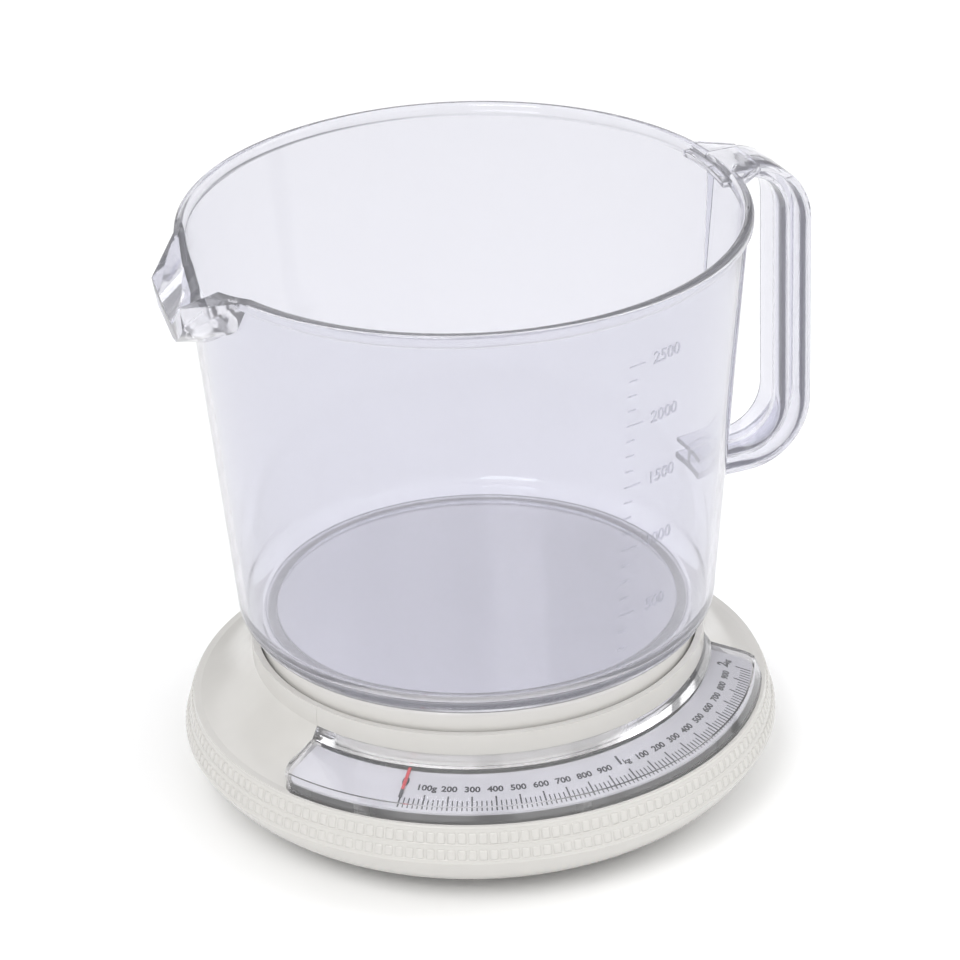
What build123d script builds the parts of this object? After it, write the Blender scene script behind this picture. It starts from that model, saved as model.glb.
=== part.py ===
from build123d import *
import os
from math import atan2, cos, degrees, pi, radians, sin, sqrt, tan

# Mechanical kitchen scale with a clear measuring jug, in millimetres.
# Origin: centre of the base on the table. +Z up, handle towards +X, dial towards -Y, spout towards -X.

# Platform and neck: the plan sizes of the base and the jug follow from the platform's radius
cap_radius = 73.0
cap_gap = 0.8
cap_wall = 2.2
cap_margin = 1.7
neck_wall = 2.2
neck_height = 7.2
neck_rise = 3.9
skirt_gap = 1.9
platform_travel = 5.0
carrier_gap = 10.8
carrier_thickness = 2.0
carrier_screw_inset = 8.0
boss_gap = 1.5

# Base
dish_width = 24.0
floor_height = 4.0
floor_step = 19.5
shell_wall = 2.2
crest_step = 3.5
crest_width = 2.4
band_height = 12.0
flare_out = 2.6
flare_down = 0.9
dish_dip = 2.6
ridge_radius = 0.55
foot_radius = 7.0
foot_sunk = 1.2
foot_inset = 14.5
boss_inset = 2.9
boss_angles = (50.0, 130.0, -163.0, -17.0)
boss_radius = 3.2
boss_height = 3.0
screw_radius = 1.2
head_radius = 2.6
head_height = 1.6
screw_length = 14.0

# Dial, lens and pointer
dial_slope = 19.0
dial_thickness = 0.8
dial_half_span = 66.0
dial_clearance = 1.6
dial_depth = 3.0
post_radius = 2.5
lens_half_span = 67.0
lens_wall = 1.4
lens_fit = 0.1
lens_corner = 7.0
lens_margin = 1.2
lens_foot_rise = 1.0
bevel_width = 2.4
bevel_height = 4.4
lens_depth = 2.6
lens_neck_depth = 4.3
ledge = 1.2
scale_zero_angle = -130.0
angle_per_100g = 5.07
capacity_100g = 20
needle_gap = 0.7
needle_thickness = 0.4
needle_width = 1.4
needle_inset = 3.6

# Mechanism
gear_module = 0.8
gear_teeth = 20
gear_thickness = 3.0
pressure_angle = 20.0
backlash = 0.16
stem_radius = 3.0
tube_outer_radius = 5.0
running_gap = 0.05
crank_half_swing = 17.0
crank_gap = 1.6
crank_thickness = 1.6
crank_width = 4.6
pin_radius = 1.0
slot_gap = 0.3
pivot_rise = 7.15
rack_depth = 3.6
rack_lead = 9.4
rack_overrun = 4.1
tongue_width = 1.4
tongue_height = 1.0
gear_rise = 6.0
needle_rise = 3.7
bridge_thickness = 2.0
bridge_half_length = 42.0
bridge_back = 11.0
bridge_front = 12.0
spring_wire = 1.3
spring_radius = 6.0
spring_turns = 5
spring_cap_radius = 9.5
spring_cap_height = 2.4
seat_rise = 3.4
seat_thickness = 1.6
seat_half_length = 15.5
zero_screw_radius = 2.4
knob_radius = 12.0
knob_height = 2.4
knob_stem_radius = 4.0
rod_x = -14.0
rod_gap = 5.0
rod_radius = 1.5

# Jug
jug_foot_inset = 2.0
jug_flare = 8.8
jug_corner = 8.9
jug_height = 143.2
jug_taper = 11.4
rim_bead = 1.9
rim_height = 5.0
jug_wall = 2.2
jug_floor = 3.0
foot_ring_width = 4.0
foot_ring_height = 2.0
handle_reach = 19.4
handle_depth = 9.6
handle_width = 19.3
handle_flange = 2.4
handle_low = 31.8
handle_bottom_wall = 7.6
handle_top_wall = 4.0
handle_bend = 16.0
spout_reach = 11.0
spout_root = 7.2
spout_root_half = 31.0
spout_lip_half = 13.4
spout_lip_drop = 7.4
spout_root_depth = 20.0
spout_lip_depth = 24.0

# Plan sizes of the base
neck_inner = cap_radius + cap_gap
neck_outer = neck_inner + neck_wall
base_radius = neck_outer + dish_width
floor_radius = base_radius - floor_step
crest_radius = base_radius - crest_step
foot_circle = floor_radius - foot_inset
boss_circle = floor_radius - boss_inset
lens_outer_radius = crest_radius - lens_margin
lens_outer_knee = lens_outer_radius - bevel_width
lens_inner_knee = neck_outer + bevel_width
dial_outer_radius = lens_outer_radius - lens_wall - dial_clearance
dial_inner_radius = neck_outer + lens_wall
needle_tip_radius = dial_outer_radius - needle_inset

# Linkage: the platform's travel turns the crank, and the crank pushes the rack
pitch_radius = gear_module * gear_teeth / 2
rack_travel = pitch_radius * radians(angle_per_100g * capacity_100g)
crank_input = platform_travel / (2 * tan(radians(crank_half_swing)))
crank_output = rack_travel / (2 * tan(radians(crank_half_swing)))
rack_back = pitch_radius + gear_module + rack_depth
crank_y = rack_back + crank_gap
crank_back = crank_y + crank_thickness
rod_y = crank_y + rod_gap

# Heights, from the floor up through the mechanism to the dial, the neck and the platform
floor_top = floor_height + shell_wall
seat_top = floor_top + seat_rise
boss_top = floor_top + boss_height
pivot_x = crank_input
pivot_z = floor_top + pivot_rise
rack_height = pivot_z + crank_output
drive_pin_z = pivot_z + platform_travel / 2
rack_pin_x = pivot_x + rack_travel / 2
gear_low = rack_height - gear_thickness / 2
gear_high = rack_height + gear_thickness / 2
bridge_top = gear_low - gear_rise
bridge_height = bridge_top - bridge_thickness
spring_cap_top = bridge_height - 0.6
spring_cap_bottom = spring_cap_top - spring_cap_height
dial_rise = tan(radians(dial_slope))
needle_height = gear_high + needle_rise
needle_top = needle_height + needle_thickness
dial_outer_height = needle_height - needle_gap - (dial_outer_radius - neck_outer) * dial_rise
lens_edge_height = dial_outer_height + dial_depth
lens_foot_height = lens_edge_height - bevel_height
lens_knee_height = lens_edge_height + (lens_outer_knee - lens_inner_knee) * dial_rise
crest_height = lens_foot_height - lens_foot_rise
widest_height = crest_height - band_height
neck_base = lens_knee_height + neck_rise
neck_top = neck_base + neck_height
hub_bore = tube_outer_radius + running_gap
hub_top = needle_top + 0.3
hub_radius = tube_outer_radius + 2.0
tube_top = hub_top + 2.2
skirt_bottom = needle_top + platform_travel + skirt_gap
platform_top = neck_top + platform_travel + cap_margin
carrier_boss_bottom = tube_top + platform_travel + 0.8
cap_inner_top = platform_top - cap_wall
carrier_top = cap_inner_top - boss_gap
carrier_bottom = carrier_top - carrier_thickness
carrier_radius = cap_radius - cap_wall - carrier_gap
carrier_screw_circle = carrier_radius - carrier_screw_inset

# Jug sizes that follow from the platform it stands on
jug_top = platform_top + jug_height
jug_foot_radius = cap_radius - jug_foot_inset
jug_wall_radius = jug_foot_radius + jug_flare
rim_wall_radius = jug_wall_radius + jug_taper
handle_inner_radius = rim_wall_radius + handle_reach
handle_outer_radius = handle_inner_radius + handle_depth
handle_low_inner = handle_low + handle_bottom_wall
handle_high_inner = jug_height - handle_top_wall
far = 2 * (jug_top + base_radius)


def ring(outer, inner, low, high):
    return Pos(0, 0, (low + high) / 2) * (Cylinder(outer, high - low) - Cylinder(inner, high - low))


def rod(x, y, low, high, radius):
    return Pos(x, y, (low + high) / 2) * Cylinder(radius, high - low)


def cross_rod(x, z, y_low, y_high, radius):
    return Pos(x, (y_low + y_high) / 2, z) * Rot(90, 0, 0) * Cylinder(radius, y_high - y_low)


def block(x_low, x_high, y_low, y_high, z_low, z_high):
    centre = Pos((x_low + x_high) / 2, (y_low + y_high) / 2, (z_low + z_high) / 2)
    return centre * Box(x_high - x_low, y_high - y_low, z_high - z_low)


def polygon(points):
    return make_face(Polyline(*points, close=True))


def turned(face):
    return revolve(Plane.XZ * face, Axis.Z, 360)


def around(radius, angles):
    return [(radius * cos(radians(a)), radius * sin(radians(a))) for a in angles]


def export(node, shape):
    os.makedirs("parts", exist_ok=True)
    shape.label = node
    export_step(shape, f"parts/{node}.step")


def base_solid(inset):
    widest = base_radius - inset
    low = floor_height + inset
    neck = neck_outer - inset
    crest_in = crest_radius - crest_width - inset
    crest_top = crest_height - inset
    flare = ((widest + floor_radius) / 2 + flare_out, (widest_height + low) / 2 - flare_down)
    dip = ((neck + crest_in) / 2 - dish_dip * 0.6, (neck_base + crest_top) / 2 - dish_dip * 0.8 - inset / 2)
    edges = [
        ThreePointArc((widest, widest_height), flare, (floor_radius, low)),
        Line((floor_radius, low), (0, low)),
        Line((0, low), (0, neck_top)),
        Line((0, neck_top), (neck, neck_top)),
        Line((neck, neck_top), (neck, neck_base)),
        ThreePointArc((neck, neck_base), dip, (crest_in, crest_top)),
        Line((crest_in, crest_top), (crest_radius - inset, crest_top)),
        Line((crest_radius - inset, crest_top), (widest, widest_height)),
    ]
    return turned(make_face(Curve() + edges))


def band_ridge(share):
    radius = crest_radius + (base_radius - crest_radius) * share - ridge_radius * 0.8
    height = crest_height + (widest_height - crest_height) * share
    return Pos(0, 0, height) * Torus(radius, ridge_radius)


def sector_plan(inner, outer, half_span, corner):
    start = -90 - half_span
    end = -90 + half_span
    far_side = around(outer, (start, -90, end))
    near_side = around(inner, (end, -90, start))
    edges = [
        ThreePointArc(*far_side),
        Line(far_side[2], near_side[0]),
        ThreePointArc(*near_side),
        Line(near_side[2], far_side[0]),
    ]
    plan = make_face(Curve() + edges)
    if corner:
        outermost = sorted(plan.vertices(), key=lambda v: sqrt(v.X ** 2 + v.Y ** 2))[2:]
        plan = fillet(outermost, corner)
    return plan


def lens_prism(grow):
    half_span = lens_half_span + degrees(grow / lens_outer_radius)
    plan = sector_plan(neck_outer - grow, lens_outer_radius + grow, half_span, lens_corner + grow)
    return extrude(plan, amount=far)


def lens_section(inset):
    points = [
        (lens_outer_radius, 0),
        (lens_outer_radius, lens_foot_height),
        (lens_outer_knee, lens_edge_height),
        (lens_inner_knee, lens_knee_height),
        (neck_outer, neck_base),
        (neck_outer, 0),
    ]
    section = polygon(points)
    return turned(offset(section, amount=-inset, kind=Kind.INTERSECTION) if inset else section)


def below_lens(extra):
    foot = lens_foot_height - lens_depth - extra
    head = neck_base - lens_neck_depth - extra
    outer = lens_outer_knee
    inner = neck_outer + bevel_width * 0.8
    knee = foot + (outer - inner) * dial_rise * 1.6
    points = [(0, 0), (far, 0), (far, foot), (outer, foot), (inner, knee), (inner, head), (0, head)]
    return turned(polygon(points))


def dial_cone(top_shift, bottom_shift):
    inner_height = dial_outer_height + (dial_outer_radius - dial_inner_radius) * dial_rise
    points = [
        (dial_inner_radius, inner_height + top_shift),
        (dial_outer_radius, dial_outer_height + top_shift),
        (dial_outer_radius, dial_outer_height + bottom_shift),
        (dial_inner_radius, inner_height + bottom_shift),
    ]
    return turned(polygon(points))


def make_upper_housing():
    upper = Pos(0, 0, widest_height + far / 2) * Cylinder(far, far)
    shell = base_solid(0) - base_solid(shell_wall)
    for share in (0.06, 0.5, 0.92):
        shell = shell + band_ridge(share)
    shell = shell & upper
    frame = (lens_prism(neck_wall * 0.6) & base_solid(0)) - below_lens(ledge)
    shell = shell + frame
    for x, y in around(boss_circle, boss_angles):
        shell = shell + (rod(x, y, floor_top, neck_base, boss_radius) & base_solid(shell_wall / 2))
    shell = shell - (lens_prism(lens_fit) - below_lens(0)) - lens_prism(-ledge)
    needle_way = sector_plan(neck_inner - 2, neck_outer + ledge + 1, dial_half_span - 1, 0)
    shell = shell - extrude(needle_way, amount=neck_base - lens_neck_depth)
    for x, y in around(boss_circle, boss_angles):
        shell = shell - rod(x, y, floor_height, floor_height + screw_length + 1, screw_radius)
    return shell - rod(0, 0, floor_top, neck_top + 1, neck_inner)


def make_lower_housing():
    shell = base_solid(0) - base_solid(shell_wall)
    shell = shell - Pos(0, 0, widest_height + far / 2) * Cylinder(far, far)
    post_room = base_solid(shell_wall / 2) & below_dial()
    for x, y in around((dial_inner_radius + dial_outer_radius) / 2, (-140.0, -90.0, -40.0)):
        shell = shell + (rod(x, y, floor_height, neck_base, post_radius) & post_room)
    for x, y in bridge_screws():
        shell = shell + rod(x, y, floor_top, boss_top, 4)
        shell = shell - rod(x, y, floor_height + 1, boss_top, screw_radius)
    for x in seat_rods():
        shell = shell + rod(x, 0, floor_top, seat_top + 2.4, rod_radius)
    for x, y in around(boss_circle, boss_angles):
        shell = shell - rod(x, y, 0, floor_top + 1, screw_radius)
        shell = shell - rod(x, y, 0, floor_height + head_height, head_radius)
        shell = shell - rod(x, y, floor_top, far, boss_radius + 0.2)
    for x, y in foot_places():
        shell = shell - rod(x, y, 0, floor_height + foot_sunk, foot_radius)
    return shell - rod(0, 0, 0, floor_top, knob_stem_radius + running_gap)


def below_dial():
    return turned(polygon([
        (0, floor_height),
        (dial_outer_radius, floor_height),
        (dial_outer_radius, dial_outer_height - dial_thickness),
        (0, dial_outer_height - dial_thickness + dial_outer_radius * dial_rise),
    ]))


def foot_places():
    return around(foot_circle, (45.0, 135.0, 225.0, 315.0))


def bridge_screws():
    return [(x, y) for x in (-bridge_half_length - 6, bridge_half_length + 6) for y in (-8.0, 12.0)]


def seat_rods():
    return (2.5 - seat_half_length, seat_half_length - 2.5)


def make_lens():
    outer = lens_prism(0) & lens_section(0)
    inner = lens_prism(-lens_wall) & lens_section(lens_wall)
    return outer - inner - below_lens(0)


def make_dial():
    plan = sector_plan(dial_inner_radius, dial_outer_radius, dial_half_span, lens_corner - lens_wall - ledge)
    return dial_cone(0, -dial_thickness) & extrude(plan, amount=far)


def make_feet():
    feet = [fillet((rod(x, y, 0, floor_height + foot_sunk, foot_radius)).edges().sort_by(Axis.Z)[0], 0.8)
            for x, y in foot_places()]
    return Compound(children=feet)


def screw(x, y, head_low, reach, radius, upward):
    head_high = head_low + head_height
    if upward:
        return rod(x, y, head_low, head_high, radius + 1.3) + rod(x, y, head_high, head_high + reach, radius)
    return rod(x, y, head_low, head_high, radius + 1.3) + rod(x, y, head_low - reach, head_low, radius)


def make_housing_screws():
    return Compound(children=[screw(x, y, floor_height, screw_length - head_height, screw_radius, True)
                              for x, y in around(boss_circle, boss_angles)])


def make_bridge():
    back = crank_y + bridge_back
    plate = block(-bridge_half_length, bridge_half_length, -bridge_front, back, bridge_height, bridge_top)
    for side in (-1, 1):
        inner = side * (bridge_half_length - bridge_thickness)
        outer = side * bridge_half_length
        tip = side * (bridge_half_length + 11)
        low_x, high_x = sorted((inner, outer))
        plate = plate + block(low_x, high_x, -bridge_front, 16, boss_top, bridge_top)
        low_x, high_x = sorted((inner, tip))
        plate = plate + block(low_x, high_x, -bridge_front, 16, boss_top, boss_top + bridge_thickness)
    for x, y in bridge_screws():
        plate = plate - rod(x, y, boss_top, boss_top + bridge_thickness, screw_radius + 0.2)
    slot_high = rack_pin_x + crank_width
    plate = plate - block(-3, slot_high, crank_y - 1, crank_back + 1, bridge_height, bridge_top)
    plate = plate - rod(rod_x, rod_y, bridge_height, bridge_top, rod_radius + running_gap)
    return plate - rod(0, 0, bridge_height, bridge_top, tube_outer_radius)


def make_bridge_screws():
    level = boss_top + bridge_thickness
    reach = level - floor_height - 1.5
    return Compound(children=[screw(x, y, level, reach, screw_radius, False) for x, y in bridge_screws()])


def make_guide_tube():
    return ring(tube_outer_radius, stem_radius + running_gap, bridge_height, tube_top)


def make_tube_collar():
    return ring(tube_outer_radius + 1.6, tube_outer_radius, hub_top + 0.1, tube_top - 0.4)


def make_cap():
    cap = rod(0, 0, skirt_bottom, platform_top, cap_radius)
    cap = fillet(cap.edges().sort_by(Axis.Z)[-1], 1.6)
    cap = cap - rod(0, 0, skirt_bottom, cap_inner_top, cap_radius - cap_wall)
    for x, y in around(carrier_screw_circle, (30.0, 150.0, 270.0)):
        cap = cap + rod(x, y, carrier_top, cap_inner_top, 4)
        cap = cap - rod(x, y, carrier_top, platform_top - 0.8, screw_radius)
    return cap


def make_carrier():
    carrier = rod(0, 0, carrier_bottom, carrier_top, carrier_radius)
    carrier = carrier + rod(0, 0, carrier_boss_bottom, carrier_top, 9) - rod(0, 0, 0, far, stem_radius)
    for x, y in around(34.0, (0.0, 60.0, 120.0, 180.0, 240.0, 300.0)):
        carrier = carrier - rod(x, y, carrier_bottom, carrier_top, 12)
    for x, y in around(carrier_screw_circle, (30.0, 150.0, 270.0)):
        carrier = carrier - rod(x, y, carrier_bottom, carrier_top, screw_radius + 0.2)
    carrier = carrier + rod(rod_x, rod_y, carrier_boss_bottom, carrier_top, 3.2)
    carrier = carrier - rod(rod_x, rod_y, 0, carrier_top, rod_radius)
    return carrier - stem_pin_solid()


def stem_pin_solid():
    return Pos(0, 0, carrier_boss_bottom + 2.5) * Rot(0, 90, 0) * Cylinder(pin_radius, 18)


def make_carrier_screws():
    reach = carrier_thickness + boss_gap + 0.8
    return Compound(children=[screw(x, y, carrier_bottom - head_height, reach, screw_radius, True)
                              for x, y in around(carrier_screw_circle, (30.0, 150.0, 270.0))])


def make_stem():
    return rod(0, 0, spring_cap_bottom - 1.8, carrier_top, stem_radius) - stem_pin_solid()


def make_anti_turn_rod():
    return rod(rod_x, rod_y, bridge_height - 7, carrier_top, rod_radius)


def make_spring_cap():
    disc = rod(0, 0, spring_cap_bottom, spring_cap_top, spring_cap_radius)
    arm = block(-3, 3, 6, crank_y - 1.2, spring_cap_bottom, spring_cap_top)
    leg = block(-2.5, 2.5, crank_y - 3.6, crank_y - 1.2, drive_pin_z - 2.5, spring_cap_top)
    solid = disc + arm + leg - cross_rod(0, drive_pin_z, 0, crank_y, pin_radius)
    return solid - rod(0, 0, 0, far, stem_radius)


def make_stem_clip():
    return ring(stem_radius + 1.6, stem_radius, spring_cap_bottom - 0.9, spring_cap_bottom)


def make_drive_pin():
    return cross_rod(0, drive_pin_z, crank_y - 3.6, crank_back + 1, pin_radius)


def make_spring():
    low = seat_top + spring_wire / 2
    height = spring_cap_bottom - seat_top - spring_wire
    coil = Helix(pitch=height / spring_turns, height=height, radius=spring_radius, center=(0, 0, low))
    section = Plane(coil @ 0, z_dir=coil % 0) * Circle(spring_wire / 2)
    return sweep(section, path=coil)


def make_spring_seat():
    low = seat_top - seat_thickness
    seat = rod(0, 0, low, seat_top, 8.5)
    seat = seat + block(-seat_half_length, seat_half_length, -2.6, 2.6, low, seat_top)
    seat = seat + rod(0, 0, low, seat_top + 2.4, 4.6)
    for x in seat_rods():
        seat = seat - rod(x, 0, 0, far, rod_radius + running_gap)
    return seat - rod(0, 0, 0, far, zero_screw_radius + running_gap)


def make_zero_knob():
    low = floor_height - 0.3 - knob_height
    knob = rod(0, 0, low, floor_height - 0.3, knob_radius)
    for x, y in around(knob_radius, [step * 15.0 for step in range(24)]):
        knob = knob - rod(x, y, low, floor_height, 0.9)
    knob = knob + rod(0, 0, floor_height - 0.3, floor_top + 0.6, knob_stem_radius)
    return knob + rod(0, 0, floor_top, seat_top + 1.6, zero_screw_radius)


def make_knob_clip():
    return ring(knob_stem_radius + 1.4, knob_stem_radius, floor_top + 0.05, floor_top + 0.6)


def crank_arm(length, slot_half, turn):
    reach = length + slot_half
    arm = Pos(reach / 2, 0, 0) * Box(reach, crank_width, crank_thickness)
    arm = arm + Pos(reach, 0, 0) * Cylinder(crank_width / 2, crank_thickness)
    slot = Pos(length, 0, 0) * Box(2 * slot_half, 2 * (pin_radius + slot_gap), crank_thickness)
    for side in (-slot_half, slot_half):
        slot = slot + Pos(length + side, 0, 0) * Cylinder(pin_radius + slot_gap, crank_thickness)
    return Rot(0, 0, turn) * (arm - slot)


def make_bell_crank():
    long_arm = crank_output / cos(radians(crank_half_swing))
    short_arm = crank_input / cos(radians(crank_half_swing))
    flat = crank_arm(long_arm, 1.4, 90 - crank_half_swing)
    flat = flat + crank_arm(short_arm, 0.6, 180 - crank_half_swing)
    flat = flat + Cylinder(crank_width / 2 + 0.6, crank_thickness + 1.2)
    flat = flat - Cylinder(pin_radius + running_gap, far)
    return Pos(pivot_x, crank_y + crank_thickness / 2, pivot_z) * Rot(90, 0, 0) * flat


def make_crank_bracket():
    y_low = crank_back + 1.0
    ear = block(pivot_x - 4, pivot_x + 4, y_low, y_low + 1.6, pivot_z - 4, bridge_height)
    tab = block(pivot_x - 4, pivot_x + 4, y_low, crank_y + bridge_back, bridge_height - 1.6, bridge_height)
    return ear + tab - cross_rod(pivot_x, pivot_z, 0, far, pin_radius)


def make_crank_pin():
    y_low = crank_y - 0.9
    pin = cross_rod(pivot_x, pivot_z, y_low, crank_back + 2.6, pin_radius)
    return pin + cross_rod(pivot_x, pivot_z, y_low - 0.8, y_low, pin_radius + 0.9)


def gear_face():
    base = pitch_radius * cos(radians(pressure_angle))
    outside = pitch_radius + gear_module * 0.9
    root = pitch_radius - gear_module * 1.2
    roll = tan(radians(pressure_angle)) - radians(pressure_angle)
    half_tooth = pi / (2 * gear_teeth) - backlash / (2 * pitch_radius) + roll
    face = Circle(root)
    tooth = []
    steps = 6
    for step in range(steps + 1):
        radius = base + (outside - base) * step / steps
        turn = sqrt((radius / base) ** 2 - 1)
        tooth.append((radius, half_tooth - (turn - atan2(turn, 1))))
    flank = [(r * cos(a), r * sin(a)) for r, a in tooth]
    mirror = [(x, -y) for x, y in reversed(flank)]
    inner = [(root * 0.9 * cos(half_tooth), -root * 0.9 * sin(half_tooth)),
             (root * 0.9 * cos(half_tooth), root * 0.9 * sin(half_tooth))]
    edges = [Spline(*flank), Line(flank[-1], mirror[0]), Spline(*mirror),
             Line(mirror[-1], inner[0]), Line(*inner), Line(inner[1], flank[0])]
    profile = make_face(Curve() + edges)
    for index in range(gear_teeth):
        face = face + Rot(0, 0, 90 + 360 * index / gear_teeth) * profile
    return face


def make_pointer_hub():
    gear = Pos(0, 0, gear_low) * extrude(gear_face(), amount=gear_thickness)
    hub = gear + rod(0, 0, gear_low, hub_top, hub_radius)
    return hub - rod(0, 0, 0, far, hub_bore) - make_needle()


def make_needle():
    knee = neck_outer - 1
    drop = (needle_tip_radius - knee) * dial_rise
    side = polygon([
        (hub_bore + 1.0, needle_height),
        (knee, needle_height),
        (needle_tip_radius, needle_height - drop),
        (needle_tip_radius, needle_top - drop),
        (knee, needle_top),
        (hub_bore + 1.0, needle_top),
    ])
    strip = extrude(Plane.XZ * side, amount=needle_width / 2, both=True)
    return Rot(0, 0, scale_zero_angle) * strip


def make_rack():
    pitch = pi * gear_module
    high_x = rack_travel + rack_overrun
    body = block(-rack_lead, high_x, pitch_radius + gear_module, rack_back, gear_low, gear_high)
    lean = tan(radians(pressure_angle)) * gear_module
    half = pitch / 4 - backlash / 2
    tooth = polygon([(-half - lean, gear_module), (-half + lean * 0.9, -gear_module * 0.9),
                     (half - lean * 0.9, -gear_module * 0.9), (half + lean, gear_module)])
    first = -int(rack_lead / pitch)
    for index in range(first, int(high_x / pitch)):
        place = Pos((index + 0.5) * pitch, pitch_radius, gear_low)
        body = body + place * extrude(tooth, amount=gear_thickness)
    groove_y = rack_back - rack_depth / 2
    half_groove = tongue_width / 2 + running_gap
    groove_top = gear_low + tongue_height + 0.1
    groove = block(-far, far, groove_y - half_groove, groove_y + half_groove, 0, groove_top)
    return body - groove - cross_rod(rack_pin_x, rack_height + 0.5, 0, far, pin_radius * 0.9)


def make_rack_pin():
    y_low = pitch_radius + gear_module
    return cross_rod(rack_pin_x, rack_height + 0.5, y_low, crank_back + 1, pin_radius * 0.9)


def make_rack_guide():
    groove_y = rack_back - rack_depth / 2
    y_low = rack_back - rack_depth
    rail_low = -rack_travel - 4
    rail_high = rack_travel + rack_overrun + 2
    rail = block(rail_low, rail_high, y_low, rack_back, gear_low - 1.5, gear_low - running_gap)
    tongue = block(rail_low, rail_high, groove_y - tongue_width / 2, groove_y + tongue_width / 2,
                   gear_low - running_gap, gear_low + tongue_height)
    legs = block(rail_low, rail_low + 3, y_low, rack_back, bridge_top, gear_low - 1.5)
    legs = legs + block(rail_high - 3, rail_high, y_low, rack_back, bridge_top, gear_low - 1.5)
    return rail + tongue + legs


def jug_outer():
    edges = [
        Line((0, platform_top), (jug_foot_radius, platform_top)),
        ThreePointArc(
            (jug_foot_radius, platform_top),
            (jug_wall_radius - 2.7, platform_top + jug_corner * 0.3),
            (jug_wall_radius, platform_top + jug_corner),
        ),
        Line((jug_wall_radius, platform_top + jug_corner), (rim_wall_radius, jug_top - rim_height)),
        ThreePointArc(
            (rim_wall_radius, jug_top - rim_height),
            (rim_wall_radius + rim_bead, jug_top - rim_height / 2),
            (rim_wall_radius + 0.4, jug_top),
        ),
        Line((rim_wall_radius + 0.4, jug_top), (0, jug_top)),
        Line((0, jug_top), (0, platform_top)),
    ]
    return turned(make_face(Curve() + edges))


def jug_inner():
    low = platform_top + foot_ring_height + jug_floor
    corner = jug_corner - jug_wall
    slope = (rim_wall_radius - jug_wall_radius) / (jug_height - rim_height - jug_corner)
    foot = jug_wall_radius - jug_wall
    mouth = foot + (jug_top - low - corner) * slope
    edges = [
        Line((0, low), (foot - corner, low)),
        ThreePointArc(
            (foot - corner, low),
            (foot - corner * 0.29, low + corner * 0.29),
            (foot, low + corner),
        ),
        Line((foot, low + corner), (mouth, jug_top)),
        Line((mouth, jug_top), (0, jug_top)),
        Line((0, jug_top), (0, low)),
    ]
    return turned(make_face(Curve() + edges))


def spout_solid(inset):
    lift = 8.0 if inset else 0.0
    root_x = spout_root - rim_wall_radius + inset * 3
    lip_x = -rim_wall_radius - spout_reach - inset
    root = [(spout_root_half - inset, jug_top + lift), (spout_root_half - 14, jug_top - 14 + inset),
            (0, jug_top - spout_root_depth + inset)]
    lip_top = jug_top - spout_lip_drop
    lip = [(spout_lip_half - inset, lip_top + lift), (spout_lip_half - 2 - inset, lip_top - 9 + inset * 0.5),
           (0, jug_top - spout_lip_depth + inset)]
    faces = []
    for x, half in ((root_x, root), (lip_x, lip)):
        points = [(x, y, z) for y, z in half] + [(x, -y, z) for y, z in reversed(half[:2])]
        faces.append(make_face(Polyline(*points, close=True)))
    return loft(faces, ruled=True)


def make_handle():
    low = platform_top + handle_low
    low_inner = platform_top + handle_low_inner
    high_inner = platform_top + handle_high_inner
    root = jug_wall_radius
    around_inner = corner_arcs(handle_inner_radius, low_inner, high_inner, handle_bend)
    around_outer = corner_arcs(handle_outer_radius, low, jug_top, handle_bend + handle_depth)
    edges = [
        Line((root, jug_top), around_outer[1] @ 1),
        around_outer[1],
        Line(around_outer[1] @ 0, around_outer[0] @ 1),
        around_outer[0],
        Line(around_outer[0] @ 0, (root, low)),
        Line((root, low), (root, low_inner)),
        Line((root, low_inner), around_inner[0] @ 0),
        around_inner[0],
        Line(around_inner[0] @ 1, around_inner[1] @ 0),
        around_inner[1],
        Line(around_inner[1] @ 1, (root, high_inner)),
        Line((root, high_inner), (root, jug_top)),
    ]
    face = make_face(Curve() + edges)
    return extrude(Plane.XZ * face, amount=handle_width / 2, both=True)


def corner_arcs(reach, low, high, bend):
    short = bend * (1 - sqrt(0.5))
    lower = ThreePointArc((reach - bend, low), (reach - short, low + short), (reach, low + bend))
    upper = ThreePointArc((reach, high - bend), (reach - short, high - short), (reach - bend, high))
    return lower, upper


def handle_pockets():
    low = platform_top + handle_low_inner + handle_bend
    high = platform_top + handle_high_inner - handle_bend
    inner = handle_inner_radius + handle_flange
    outer = handle_outer_radius - handle_flange
    depth = (handle_width - handle_flange) / 2
    side = handle_flange / 2
    pocket = block(inner, outer, side, side + depth, low, high)
    return pocket + block(inner, outer, -side - depth, -side, low, high)


def make_jug():
    jug = jug_outer() + spout_solid(0) + make_handle() - handle_pockets()
    jug = jug - jug_inner() - spout_solid(jug_wall)
    jug = jug - rod(0, 0, 0, platform_top + foot_ring_height, jug_foot_radius - foot_ring_width)
    jug = jug & (Pos(0, 0, jug_top - far) * Cylinder(far, 2 * far))
    return jug


export("upper_housing", make_upper_housing())
export("lower_housing", make_lower_housing())
export("dial_lens", make_lens())
export("dial_plate", make_dial())
export("rubber_feet", make_feet())
export("housing_screws", make_housing_screws())
export("chassis_bridge", make_bridge())
export("bridge_screws", make_bridge_screws())
export("guide_tube", make_guide_tube())
export("tube_collar", make_tube_collar())
export("platform_cap", make_cap())
export("platform_carrier", make_carrier())
export("carrier_screws", make_carrier_screws())
export("stem", make_stem())
export("stem_pin", stem_pin_solid())
export("anti_turn_rod", make_anti_turn_rod())
export("spring_cap", make_spring_cap())
export("stem_clip", make_stem_clip())
export("drive_pin", make_drive_pin())
export("main_spring", make_spring())
export("spring_seat", make_spring_seat())
export("zero_knob", make_zero_knob())
export("knob_clip", make_knob_clip())
export("bell_crank", make_bell_crank())
export("crank_bracket", make_crank_bracket())
export("crank_pin", make_crank_pin())
export("pointer_hub", make_pointer_hub())
export("pointer_needle", make_needle())
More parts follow.
